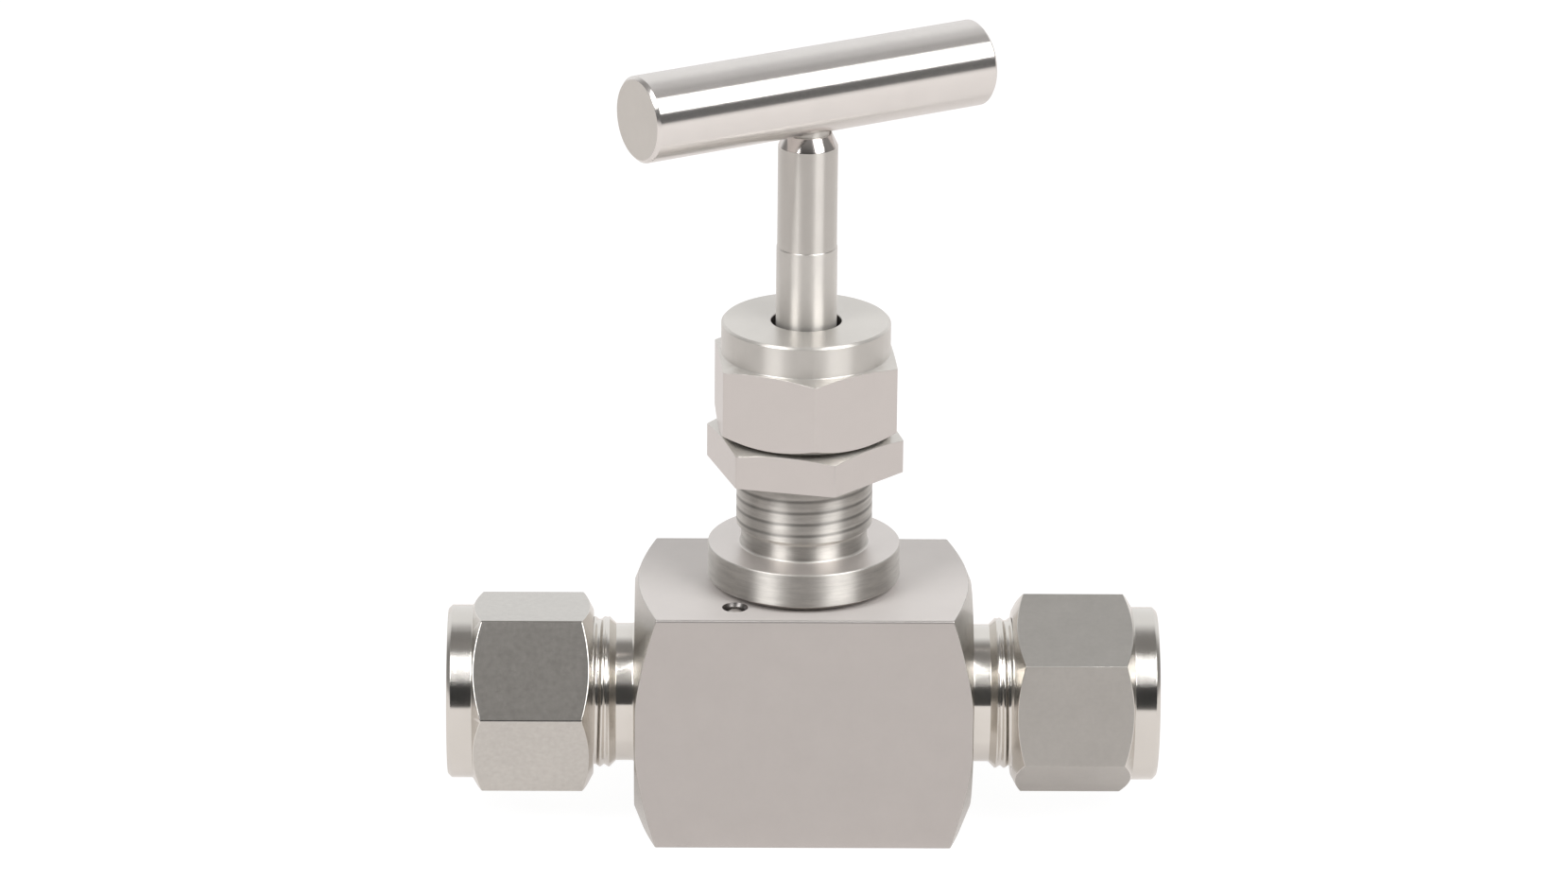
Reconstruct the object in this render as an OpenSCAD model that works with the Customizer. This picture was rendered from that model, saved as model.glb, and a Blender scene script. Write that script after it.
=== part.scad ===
// Gauge valve: a bar stock body with a screwed bonnet, a T-bar on its stem and a tube fitting at each end.
// Millimetres. Origin in the middle of the body's underside, +Z up the stem, +X out of the right port.
// The valve is shut: the needle rests on its seat. Threads are plain cylinders at their outside diameter.

/* [Body] */
// Length of the bar stock body between its end faces
body_l = 42; // [40:0.5:50]
// Depth of the body, front to back
body_w = 28.2; // [27.5:0.1:34]
// Height of the body
body_h = 30.5; // [30:0.1:34]
// Flat broken on the four long edges
edge_break = 0.3; // [0.1:0.05:0.8]
// Radius on the end faces from which the corners are turned away
end_face_r = 14.2; // [13.6:0.1:17]
// Angle of the turned corners, from the end face
end_angle = 22.5; // [15:0.5:40]

/* [Flow path] */
// Diameter of the orifice under the seat
orifice_d = 6.4; // [4.5:0.1:7]
// Height of the seat's lower edge above the underside
seat_z = 12; // [11.6:0.1:12.4]
// Height of the seat cone
seat_h = 1.9; // [1.2:0.1:2]
// Half angle of the seat and of the needle's point
seat_angle = 30; // [25:1:35]
// Diameter of the chamber over the seat
chamber_d = 13; // [11.5:0.1:14]
// Depth of the orifice drilling below the seat
orifice_depth = 8.1; // [7.8:0.1:9]

/* [Tube ends] */
// Outside diameter of the tube
tube_od = 12.7; // [12:0.1:13]
// Length of each threaded neck beyond the end face
end_neck_l = 16; // [15:0.1:19]
// Outside diameter of the neck's thread
end_thread_d = 18.85; // [18.4:0.05:19.4]
// Diameter of the plain relief behind the thread
end_relief_d = 17.2; // [16.6:0.1:18]
// Length of the relief
end_relief_l = 2.3; // [1:0.1:3]
// Distance from the body's middle to the bottom of each tube socket
socket_floor = 21.5; // [20.5:0.1:24]
// Depth of the cone in the neck's mouth
mouth_l = 5.8; // [5:0.1:7]
// Half angle of the mouth and of the front ferrule
mouth_angle = 12; // [10:0.5:13]
// How far the front ferrule's nose reaches into the mouth
ferrule_nose = 4; // [3:0.1:4.6]
// How far the front ferrule stands out of the mouth
front_ferrule_out = 1.6; // [1.3:0.1:2.2]
// How far the back ferrule's nose reaches into the front ferrule
back_ferrule_nose = 0.85; // [0.6:0.05:0.95]
// Length of the back ferrule behind the front one
back_ferrule_out = 2.4; // [2:0.1:3]
// Length of the back ferrule's flange
back_ferrule_flange = 1.1; // [0.8:0.1:1.4]

/* [Tube nuts] */
// Width across the flats
tube_nut_af = 22.225; // [21.8:0.025:24]
// Length of the hexagon
tube_nut_hex_l = 15.05; // [13:0.05:15.5]
// Length of the round collar beyond the hexagon
tube_nut_collar_l = 3.1; // [2.5:0.1:4.5]
// Diameter of the collar
tube_nut_collar_d = 21.65; // [20:0.05:21.75]
// Thickness of the wall that bears on the back ferrule
tube_nut_wall = 3.3; // [2.6:0.05:4]
// Diameter of the chamfered face that looks at the body
tube_nut_face_d = 20.6; // [20.2:0.1:22]
// Bevel on the collar's outer edge
collar_bevel = 0.5; // [0.2:0.1:0.9]
// Turn of the left nut: one corner's angle from the top towards the front
left_nut_turn = 25; // [-30:1:30]
// Turn of the right nut: one corner's angle from the top towards the front
right_nut_turn = -7; // [-30:1:30]

/* [Bonnet] */
// Diameter of the bonnet's flange
flange_d = 23.9; // [21.5:0.1:24.2]
// Thickness of the flange
flange_h = 5.4; // [4:0.1:6]
// Bevel on the flange's lower edge
flange_bevel = 0.6; // [0.3:0.1:0.9]
// Outside diameter of the thread that holds the bonnet in the body
bonnet_thread_d = 18; // [17.4:0.1:18.6]
// Thickness of the gasket under the bonnet
gasket_h = 0.8; // [0.5:0.1:1.2]
// Depth of the gasket's ledge below the top of the body
ledge_depth = 9.9; // [9:0.1:10.3]
// Outside diameter of the thread on the bonnet's neck
neck_thread_d = 16.9; // [16.6:0.1:17.6]
// Diameter of the relief at the foot of the neck
neck_relief_d = 15.4; // [15:0.1:16]
// Height of the relief above the flange
neck_relief_h = 2.8; // [2:0.1:4.5]
// Height of the neck above the flange
neck_h = 23.1; // [22.6:0.1:23.8]
// Bevel at the top of the neck
neck_bevel = 0.6; // [0.3:0.1:1]
// Diameter of the packing chamber
packing_d = 12; // [11:0.1:12.6]
// Depth of the packing chamber below the top of the neck
packing_depth = 10; // [9.6:0.1:10.6]
// Thickness of the wall between the packing and the stem's thread
backseat_h = 1.5; // [1.2:0.1:2]

/* [Lock pin] */
// Diameter of the lock pin
lock_pin_d = 2.4; // [2:0.1:2.7]
// Diameter of the countersunk mouth of the pin's hole
lock_pin_mouth_d = 3.2; // [3:0.1:3.8]
// Length of the lock pin
lock_pin_l = 5; // [3:0.1:6]
// How far the pin's domed head lies below the top of the body
lock_pin_sunk = 0.3; // [0.1:0.05:0.8]
// Direction of the pin from the stem, anticlockwise from +X
lock_pin_at = 228.5; // [205:0.5:240]

/* [Packing] */
// Height of the support ring at the bottom of the packing
support_ring_h = 1.5; // [1.2:0.1:1.9]
// Height of each packing ring
packing_ring_h = 2; // [1.8:0.1:2.1]
// Number of packing rings
packing_rings = 3; // [3]
// Diameter of the gland follower's flange
follower_flange_d = 15.4; // [14:0.1:16.2]
// Thickness of the follower's flange
follower_flange_h = 1.5; // [1:0.1:1.8]

/* [Lock nut and packing nut] */
// Width across the flats of the lock nut
lock_nut_af = 21.65; // [21:0.05:22.5]
// Height of the lock nut
lock_nut_h = 4.6; // [4:0.1:5.5]
// Free neck between the flange and the lock nut
panel_gap = 10; // [9.8:0.1:11]
// Turn of the lock nut: one corner's angle from the front towards +X
lock_nut_turn = 16.4; // [-30:0.1:30]
// Gap between the lock nut and the packing nut
nut_gap = 0.45; // [0.3:0.05:0.8]
// Width across the flats of the packing nut
packing_nut_af = 21.5; // [21.1:0.05:22.5]
// Height of the packing nut's hexagon
packing_nut_hex_h = 9.75; // [9.4:0.05:11]
// Height of the packing nut's round top
packing_nut_top_h = 4.05; // [3.6:0.05:5]
// Diameter of the round top
packing_nut_top_d = 20.9; // [20:0.1:21]
// Thickness of the packing nut's roof
packing_nut_roof = 3; // [2.6:0.1:3.4]
// Diameter of the stem's hole in the roof
stem_hole_d = 8.3; // [8.1:0.1:8.8]
// Turn of the packing nut: one corner's angle from the front towards +X
packing_nut_turn = 4.5; // [-30:0.1:30]

/* [Stem] */
// Diameter of the stem in the packing
stem_d = 7.5; // [7:0.05:7.7]
// Diameter of the stem's upper length
stem_grip_d = 7.34; // [6.9:0.02:7.4]
// Height of the polished lower length above the packing nut
stem_polish_h = 9.6; // [8:0.1:14]
// Diameter of the stem's thread
stem_thread_d = 10; // [9.5:0.1:10.4]
// Lift of the needle from shut to open
lift = 6; // [4:0.1:6.2]
// Height of the stem's lower end above the seat's edge
stem_foot = 10.5; // [9.7:0.1:11.4]
// Height of the cone under the handle
stem_cone_h = 1.6; // [1:0.1:2.4]
// Diameter of the stem's top, under the handle
stem_top_d = 5.8; // [5.5:0.1:6.6]
// Diameter of the spigot in the handle
spigot_d = 5.2; // [4.4:0.1:5.4]
// Depth of the spigot in the handle
spigot_l = 7.3; // [6:0.1:8]
// Diameter of the thrust ball between stem and needle
ball_d = 4; // [3.2:0.1:4.2]

/* [Needle] */
// Diameter of the needle above its point
needle_d = 9; // [8.7:0.1:9.4]
// Diameter of the flat at the point's end
needle_tip_d = 3; // [2:0.1:4]
// Diameter of the needle's head in the stem
needle_head_d = 5.2; // [4.8:0.1:5.6]
// Diameter of the needle's neck, which the stem's lip holds
needle_neck_d = 4.2; // [3.8:0.1:4.4]
// Height of the needle's head
needle_head_h = 2.6; // [2:0.1:3]
// Thickness of the lip at the stem's foot
lip_h = 1.1; // [0.8:0.1:1.4]

/* [Handle] */
// Diameter of the handle bar
bar_d = 10.65; // [10:0.05:12]
// Length of the handle bar
bar_l = 48; // [40:0.5:70]
// Bevel on the bar's ends
bar_bevel = 0.4; // [0.2:0.1:1]
// Height of the bar's underside above the packing nut
bar_height = 24.2; // [20:0.05:32]
// Turn of the bar when the valve is shut, from the flow axis towards the back
bar_turn = 30; // [0:1:90]

/* [Clearances] */
// Radial clearance of a turning or sliding fit
fit_gap = 0.05; // [0.03:0.01:0.1]
// Clearance on each side of a piece that is pressed or squeezed in
press_gap = 0.02; // [0.01:0.01:0.04]
// Clearance between two faces that move on different pieces
face_gap = 0.3; // [0.2:0.05:0.4]

/* [Hidden] */
$fn = 96;

LEFT = -1;
RIGHT = 1;
// A cut runs this far past the face that it opens
past = 1;
flow_z = body_h / 2;

// Heights, from the underside up
ledge_z = body_h - ledge_depth;
bonnet_foot_z = ledge_z + gasket_h;
flange_top_z = body_h + flange_h;
neck_top_z = flange_top_z + neck_h;
packing_floor_z = neck_top_z - packing_depth;
backseat_z = packing_floor_z - backseat_h;
lock_nut_z = flange_top_z + panel_gap;
packing_nut_z = lock_nut_z + lock_nut_h + nut_gap;
packing_nut_shoulder_z = packing_nut_z + packing_nut_hex_h;
packing_nut_top_z = packing_nut_shoulder_z + packing_nut_top_h;
roof_z = packing_nut_top_z - packing_nut_roof;
rings_z = packing_floor_z + support_ring_h;
rings_top_z = rings_z + packing_rings * packing_ring_h;
bar_underside_z = packing_nut_top_z + bar_height;
bar_z = bar_underside_z + bar_d / 2;

// Stem and needle
stem_foot_z = seat_z + stem_foot;
stem_shoulder_z = backseat_z - lift - face_gap / 2 - (stem_thread_d - stem_d) / 2;
seat_slope = tan(seat_angle);
needle_point_z = seat_z - (orifice_d / 2 - needle_tip_d / 2) / seat_slope + face_gap / 10;
needle_full_z = needle_point_z + (needle_d - needle_tip_d) / 2 / seat_slope;
head_z = stem_foot_z + lip_h + fit_gap;
head_top_z = head_z + needle_head_h;
ball_z = head_top_z + ball_d / 2 + press_gap;
socket_roof_z = ball_z + ball_d / 2 + press_gap;

// Distances along a tube end, from the body's middle outwards
end_face = body_l / 2;
neck_end = end_face + end_neck_l;
front_ferrule_back = neck_end + front_ferrule_out;
back_ferrule_back = front_ferrule_back + back_ferrule_out;
tube_nut_out = back_ferrule_back + tube_nut_wall;
tube_nut_shoulder = tube_nut_out - tube_nut_collar_l;
tube_nut_in = tube_nut_shoulder - tube_nut_hex_l;

// Radii of a tube end
bore_r = tube_od / 2 + fit_gap;
mouth_slope = tan(mouth_angle);
mouth_r = bore_r + mouth_l * mouth_slope;
ferrule_r = mouth_r - press_gap;
nut_thread_r = end_thread_d / 2 + fit_gap;
ferrule_room_r = ferrule_r + face_gap;

// Distance of the lock pin's middle from the stem: the mouth of its hole touches the foot of the flange
lock_pin_hole_r = lock_pin_d / 2 + press_gap;
lock_pin_off = (flange_d + lock_pin_mouth_d) / 2 - flange_bevel;

// Turned solid from points of radius and height
module turned(points) {
    rotate_extrude() polygon(points);
}

// Ring between two radii, from one height up to another
module ring(inner_r, outer_r, low, high) {
    turned([[inner_r, low], [outer_r, low], [outer_r, high], [inner_r, high]]);
}

// Lays what is drawn along +Z along the flow axis, outwards on one side
module on_flow_axis(side) {
    translate([0, 0, flow_z]) rotate([0, 90 * side, 0]) children();
}

// Drilling between two points of the plane through stem and ports, given as x and z
module drilling(start, end, d) {
    run = end - start;
    translate([start.x, 0, start.y]) rotate([0, atan2(run.x, run.y), 0]) cylinder(d = d, h = norm(run));
}

// Hexagon with its ends turned down to a radius at an angle from the end face
module turned_hexagon(af, h, low_r, low_angle, high_r, high_angle) {
    corner_r = af / sqrt(3);
    outer_r = corner_r + past;
    intersection() {
        cylinder(r = corner_r, h = h, $fn = 6);
        turned([[0, 0], [low_r, 0], [outer_r, (outer_r - low_r) * tan(low_angle)],
            [outer_r, h - (outer_r - high_r) * tan(high_angle)], [high_r, h], [0, h]]);
    }
}

// Bar stock with broken edges, its corners turned away at both ends
module bar_stock() {
    w = body_w / 2;
    h = body_h / 2;
    b = edge_break;
    far_r = norm([w, h]);
    far_x = end_face - (far_r - end_face_r) * tan(end_angle);
    intersection() {
        translate([-end_face, 0, flow_z]) rotate([90, 0, 90])
            linear_extrude(body_l)
                polygon([[-w, b - h], [b - w, -h], [w - b, -h], [w, b - h],
                    [w, h - b], [w - b, h], [b - w, h], [-w, h - b]]);
        on_flow_axis(RIGHT)
            turned([[0, -end_face], [end_face_r, -end_face], [far_r, -far_x], [far_r, far_x],
                [end_face_r, end_face], [0, end_face]]);
    }
}

// Threaded neck of a tube end
module end_neck() {
    thread_r = end_thread_d / 2;
    relief_r = end_relief_d / 2;
    step = thread_r - relief_r;
    thread_start = end_face + end_relief_l;
    turned([[0, end_face - past], [relief_r, end_face - past], [relief_r, thread_start],
        [thread_r, thread_start + step], [thread_r, neck_end - step], [relief_r, neck_end], [0, neck_end]]);
}

// Room for the tube and the front ferrule in a neck
module tube_socket() {
    mouth_start = neck_end - mouth_l;
    turned([[0, socket_floor], [bore_r, socket_floor], [bore_r, mouth_start], [mouth_r, neck_end],
        [mouth_r + past * mouth_slope, neck_end + past], [0, neck_end + past]]);
}

// Room for the bonnet, the needle and the flow around it
module bonnet_bore() {
    orifice_r = orifice_d / 2;
    chamber_r = chamber_d / 2;
    thread_r = bonnet_thread_d / 2 + fit_gap;
    turned([[0, seat_z - orifice_depth], [orifice_r, seat_z - orifice_depth], [orifice_r, seat_z],
        [orifice_r + seat_h * seat_slope, seat_z + seat_h], [chamber_r, seat_z + seat_h],
        [chamber_r, ledge_z], [thread_r, ledge_z], [thread_r, body_h + past], [0, body_h + past]]);
}

// Slanted drillings from the two sockets to below the seat and to above it
module flow_drillings() {
    into_socket = 1.5;
    inlet_z = seat_z - orifice_depth + orifice_d / 2;
    drilling([-socket_floor - into_socket, flow_z], [0, inlet_z], orifice_d);
    outlet_z = ledge_z - orifice_d / 2 - face_gap / 2;
    drilling([socket_floor + into_socket, flow_z], [chamber_d / 2 - past, outlet_z], orifice_d);
}

module at_lock_pin() {
    rotate(lock_pin_at) translate([lock_pin_off, 0, 0]) children();
}

// Hole for the lock pin, its mouth countersunk
module lock_pin_hole() {
    mouth_r = lock_pin_mouth_d / 2;
    floor_z = body_h - lock_pin_l - lock_pin_sunk;
    turned([[0, floor_z], [lock_pin_hole_r, floor_z], [lock_pin_hole_r, body_h - (mouth_r - lock_pin_hole_r)],
        [mouth_r, body_h], [mouth_r, body_h + past], [0, body_h + past]]);
}

module valve_body() {
    color("silver")
    difference() {
        union() {
            bar_stock();
            for (side = [LEFT, RIGHT]) on_flow_axis(side) end_neck();
        }
        for (side = [LEFT, RIGHT]) on_flow_axis(side) tube_socket();
        bonnet_bore();
        flow_drillings();
        at_lock_pin() lock_pin_hole();
    }
}

// Screwed bonnet: thread into the body, flange, threaded neck, packing chamber on top
module bonnet() {
    flange_r = flange_d / 2;
    thread_r = bonnet_thread_d / 2;
    neck_r = neck_thread_d / 2;
    relief_r = neck_relief_d / 2;
    bore_top_r = stem_d / 2 + 2 * fit_gap;
    stem_bore_r = stem_thread_d / 2 + fit_gap;
    thread_z = flange_top_z + neck_relief_h;
    color("gainsboro")
    turned([[stem_bore_r, bonnet_foot_z], [thread_r - neck_bevel, bonnet_foot_z],
        [thread_r, bonnet_foot_z + neck_bevel], [thread_r, body_h], [flange_r - flange_bevel, body_h],
        [flange_r, body_h + flange_bevel], [flange_r, flange_top_z], [relief_r, flange_top_z],
        [relief_r, thread_z - (neck_r - relief_r)], [neck_r, thread_z], [neck_r, neck_top_z - neck_bevel],
        [neck_r - neck_bevel, neck_top_z], [packing_d / 2, neck_top_z], [packing_d / 2, packing_floor_z],
        [bore_top_r, packing_floor_z], [bore_top_r, backseat_z], [stem_bore_r, backseat_z]]);
}

module bonnet_gasket() {
    color("dimgray")
    ring(chamber_d / 2, bonnet_thread_d / 2 - neck_bevel, ledge_z, bonnet_foot_z);
}

// Drive pin with a domed head, staked beside the flange
module bonnet_lock_pin() {
    r = lock_pin_d / 2;
    dome_h = r / 2;
    dome_r = (r * r + dome_h * dome_h) / (2 * dome_h);
    top = body_h - lock_pin_sunk;
    color("lightgray")
    at_lock_pin() intersection() {
        translate([0, 0, top - lock_pin_l]) cylinder(r = r, h = lock_pin_l);
        translate([0, 0, top - dome_r]) union() {
            sphere(r = dome_r);
            translate([0, 0, dome_h - lock_pin_l]) cylinder(r = dome_r, h = lock_pin_l - dome_h);
        }
    }
}

module packing_support_ring() {
    color("gainsboro")
    ring(stem_d / 2 + fit_gap, packing_d / 2 - press_gap, packing_floor_z, rings_z);
}

module packing_ring(place) {
    low = rings_z + place * packing_ring_h;
    color("dimgray")
    ring(stem_d / 2 + fit_gap, packing_d / 2 - press_gap, low, low + packing_ring_h);
}

// Flanged sleeve that the packing nut pushes down on the packing
module gland_follower() {
    inner_r = stem_d / 2 + fit_gap;
    sleeve_r = packing_d / 2 - fit_gap;
    flange_r = follower_flange_d / 2;
    color("gainsboro")
    turned([[inner_r, rings_top_z], [sleeve_r, rings_top_z], [sleeve_r, roof_z - follower_flange_h],
        [flange_r, roof_z - follower_flange_h], [flange_r, roof_z], [inner_r, roof_z]]);
}

// Hexagon with a round top, open below for the neck and the follower
module packing_nut() {
    thread_r = neck_thread_d / 2 + fit_gap;
    top_r = packing_nut_top_d / 2;
    face_r = packing_nut_af / 2;
    low_angle = 30;
    high_angle = 14;
    bevel = edge_break;
    color("silver")
    rotate(packing_nut_turn - 90) difference() {
        union() {
            translate([0, 0, packing_nut_z])
                turned_hexagon(packing_nut_af, packing_nut_hex_h, face_r, low_angle, top_r, high_angle);
            turned([[0, packing_nut_shoulder_z - past], [top_r, packing_nut_shoulder_z - past],
                [top_r, packing_nut_top_z - bevel], [top_r - bevel, packing_nut_top_z],
                [0, packing_nut_top_z]]);
        }
        turned([[0, packing_nut_z - past], [thread_r, packing_nut_z - past], [thread_r, roof_z],
            [stem_hole_d / 2, roof_z], [stem_hole_d / 2, packing_nut_top_z + past],
            [0, packing_nut_top_z + past]]);
    }
}

module lock_nut() {
    top_angle = 15;
    corner_r = lock_nut_af / sqrt(3);
    color("silver")
    rotate(lock_nut_turn - 90) difference() {
        translate([0, 0, lock_nut_z])
            turned_hexagon(lock_nut_af, lock_nut_h, corner_r, 0, lock_nut_af / 2, top_angle);
        translate([0, 0, lock_nut_z - past])
            cylinder(r = neck_thread_d / 2 + fit_gap, h = lock_nut_h + 2 * past);
    }
}

// Stem: thread below, polished length through the packing, cone and spigot under the handle
module stem() {
    thread_r = stem_thread_d / 2;
    seal_r = stem_d / 2;
    grip_r = stem_grip_d / 2;
    socket_r = needle_head_d / 2 + fit_gap;
    lip_r = needle_neck_d / 2 + fit_gap;
    polish_top_z = packing_nut_top_z + stem_polish_h;
    cone_foot_z = bar_underside_z - stem_cone_h;
    color("gainsboro")
    turned([[lip_r, stem_foot_z], [thread_r - lip_h, stem_foot_z], [thread_r, stem_foot_z + lip_h],
        [thread_r, stem_shoulder_z], [seal_r, stem_shoulder_z + thread_r - seal_r], [seal_r, polish_top_z],
        [grip_r, polish_top_z + seal_r - grip_r], [grip_r, cone_foot_z], [stem_top_d / 2, bar_underside_z],
        [spigot_d / 2, bar_underside_z], [spigot_d / 2, bar_underside_z + spigot_l],
        [0, bar_underside_z + spigot_l], [0, socket_roof_z], [socket_r, socket_roof_z],
        [socket_r, stem_foot_z + lip_h], [lip_r, stem_foot_z + lip_h]]);
}

module thrust_ball() {
    color("white")
    translate([0, 0, ball_z]) sphere(d = ball_d);
}

// Needle that doesn't turn: point, body, neck and the head that the stem's lip holds
module needle_tip() {
    neck_r = needle_neck_d / 2;
    top_z = stem_foot_z - face_gap;
    color("gainsboro")
    turned([[0, needle_point_z], [needle_tip_d / 2, needle_point_z], [needle_d / 2, needle_full_z],
        [needle_d / 2, top_z], [neck_r, top_z], [neck_r, head_z], [needle_head_d / 2, head_z],
        [needle_head_d / 2, head_top_z], [0, head_top_z]]);
}

// Round bar across the stem, pressed on the spigot
module handle_bar() {
    r = bar_d / 2;
    half = bar_l / 2;
    color("silver")
    difference() {
        translate([0, 0, bar_z]) rotate([0, 90, bar_turn])
            turned([[0, -half], [r - bar_bevel, -half], [r, bar_bevel - half], [r, half - bar_bevel],
                [r - bar_bevel, half], [0, half]]);
        translate([0, 0, bar_underside_z - past])
            cylinder(d = spigot_d + 2 * press_gap, h = spigot_l + past + press_gap);
    }
}

// Nut of a tube end: hexagon, round collar, thread, room for the ferrules and hole for the tube
module tube_nut(side, turn) {
    face_r = tube_nut_face_d / 2;
    collar_r = tube_nut_collar_d / 2;
    inner_angle = 28;
    outer_angle = 31;
    bevel = collar_bevel;
    thread_end = neck_end + press_gap;
    room_end = back_ferrule_back;
    color("silver")
    on_flow_axis(side) rotate(side * turn) difference() {
        union() {
            translate([0, 0, tube_nut_in])
                turned_hexagon(tube_nut_af, tube_nut_hex_l, face_r, inner_angle, collar_r, outer_angle);
            turned([[0, tube_nut_shoulder - past], [collar_r, tube_nut_shoulder - past],
                [collar_r, tube_nut_out - bevel], [collar_r - bevel, tube_nut_out], [0, tube_nut_out]]);
        }
        turned([[0, tube_nut_in - past], [nut_thread_r, tube_nut_in - past], [nut_thread_r, thread_end],
            [ferrule_room_r, thread_end + nut_thread_r - ferrule_room_r], [ferrule_room_r, room_end],
            [bore_r, room_end], [bore_r, tube_nut_out + past], [0, tube_nut_out + past]]);
    }
}

// Front ferrule: a sleeve whose cone lies in the neck's mouth
module front_ferrule(side) {
    nose = neck_end - ferrule_nose;
    nose_r = mouth_r - ferrule_nose * mouth_slope - press_gap;
    back_r = bore_r + back_ferrule_nose;
    color("darkgray")
    on_flow_axis(side)
        turned([[bore_r, nose], [nose_r, nose], [ferrule_r, neck_end], [ferrule_r, front_ferrule_back],
            [back_r, front_ferrule_back], [bore_r, front_ferrule_back - back_ferrule_nose]]);
}

// Back ferrule: its nose lies in the front ferrule, its flange bears on the nut
module back_ferrule(side) {
    nose = front_ferrule_back - back_ferrule_nose + 2 * press_gap;
    flange_start = back_ferrule_back - back_ferrule_flange;
    neck_r = bore_r + back_ferrule_nose - 2 * press_gap;
    color("gray")
    on_flow_axis(side)
        turned([[bore_r, nose], [neck_r, front_ferrule_back], [neck_r, flange_start - (ferrule_r - neck_r)],
            [ferrule_r, flange_start], [ferrule_r, back_ferrule_back], [bore_r, back_ferrule_back]]);
}

valve_body();
bonnet();
bonnet_gasket();
bonnet_lock_pin();
packing_support_ring();
packing_ring(0);  // packing_ring_1
packing_ring(1);  // packing_ring_2
packing_ring(2);  // packing_ring_3
gland_follower();
packing_nut();
lock_nut();
stem();
thrust_ball();
needle_tip();
handle_bar();
tube_nut(LEFT, left_nut_turn);  // tube_nut_left
tube_nut(RIGHT, right_nut_turn);  // tube_nut_right
front_ferrule(LEFT);  // front_ferrule_left
front_ferrule(RIGHT);  // front_ferrule_right
back_ferrule(LEFT);  // back_ferrule_left
back_ferrule(RIGHT);  // back_ferrule_right
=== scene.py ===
import logging
import math
from dataclasses import dataclass
from enum import Enum

import bmesh
import bpy
import numpy as np
from mathutils import Matrix, Vector


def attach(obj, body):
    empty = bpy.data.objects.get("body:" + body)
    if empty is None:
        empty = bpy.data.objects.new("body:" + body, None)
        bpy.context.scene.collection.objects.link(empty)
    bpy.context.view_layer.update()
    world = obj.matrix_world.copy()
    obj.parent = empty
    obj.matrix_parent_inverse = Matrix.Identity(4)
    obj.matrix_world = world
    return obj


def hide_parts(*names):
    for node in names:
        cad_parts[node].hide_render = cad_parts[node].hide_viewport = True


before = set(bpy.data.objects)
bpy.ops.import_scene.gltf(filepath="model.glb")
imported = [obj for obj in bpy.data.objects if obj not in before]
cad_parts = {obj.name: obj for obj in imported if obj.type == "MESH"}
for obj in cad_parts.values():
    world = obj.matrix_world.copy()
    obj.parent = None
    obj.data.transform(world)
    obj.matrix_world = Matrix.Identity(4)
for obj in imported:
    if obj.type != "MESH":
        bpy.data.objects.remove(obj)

logging.basicConfig(level=logging.INFO, format="%(name)s: %(message)s")
LOG = logging.getLogger("gauge_valve")

MM = 0.001
"""One millimetre in metres; the valve's and the camera's sizes are in millimetres, the studio's in metres."""

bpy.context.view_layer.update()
"""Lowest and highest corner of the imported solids, in metres."""

Colour = tuple[float, float, float]
Socket = bpy.types.NodeSocket


class Side(Enum):
    """The two tube ends, by the direction they point along the flow axis."""

    LEFT = -1
    RIGHT = 1

    @property
    def word(self) -> str:
        """The end's name as it stands in the node names."""
        return self.name.lower()


class Grain(Enum):
    """How a metal surface was cut, by how far its lines vary along the axis: fully, or hardly at all."""

    TURNED = 1.0
    DRAWN = 0.03
    MILLED = 0.06


# Shapes


@dataclass(frozen=True)
class Place:
    """Where a piece's own axis lies: its local +Z is the axis that it is turned about."""

    matrix: Matrix

    @classmethod
    def upright(cls) -> "Place":
        """The stem's axis, with heights from the body's underside."""
        return cls(Matrix.Identity(4))

    @classmethod
    def flow(cls, side: Side, height: float) -> "Place":
        """The flow axis, with distances from the body's middle outwards.

        Args:
            side: The end towards which the distances run.
            height: Height of the flow axis.

        Returns:
            The place.
        """
        turn = Matrix.Rotation(math.radians(90 * side.value), 4, "Y")
        return cls(Matrix.Translation((0, 0, height)) @ turn)

    @classmethod
    def across(cls, height: float, turn: float) -> "Place":
        """A level axis through the stem's axis.

        Args:
            height: Height of the axis.
            turn: Its turn from the flow axis towards the back, in degrees.

        Returns:
            The place.
        """
        lie = Matrix.Rotation(math.radians(turn), 4, "Z") @ Matrix.Rotation(math.radians(90), 4, "Y")
        return cls(Matrix.Translation((0, 0, height)) @ lie)

    def put(self, points: np.ndarray) -> np.ndarray:
        """Points of the piece's own frame in millimetres, as frame points in metres."""
        m = np.array(self.matrix)
        return (points @ m[:3, :3].T + m[:3, 3]) * MM


TINY = 1e-9
"""Least length that is divided by."""


def length(vectors: np.ndarray) -> np.ndarray:
    """Length of each row as a column, and never quite zero."""
    return np.maximum(np.linalg.norm(vectors, axis=1, keepdims=True), TINY)


def arcs(centre: np.ndarray, first: np.ndarray, last: np.ndarray, swing: np.ndarray,
         steps: int) -> np.ndarray:
    """Arc of a circle for each row: centre + (sin((1 - s) w) first + sin(s w) last) / sin w, s from 0 to 1.

    Args:
        centre: The circles' middle points.
        first: Where the arcs start, from the centre.
        last: Where they end, from the centre.
        swing: The angle w that each covers, in radians.
        steps: Number of points in each.

    Returns:
        Array (rows, steps, 2).
    """
    s = np.linspace(0, 1, steps)[None, :, None]
    w = swing[:, None, None]
    arc = (np.sin((1 - s) * w) * first[:, None] + np.sin(s * w) * last[:, None]) / np.sin(w)
    return arc + centre[:, None]


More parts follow.
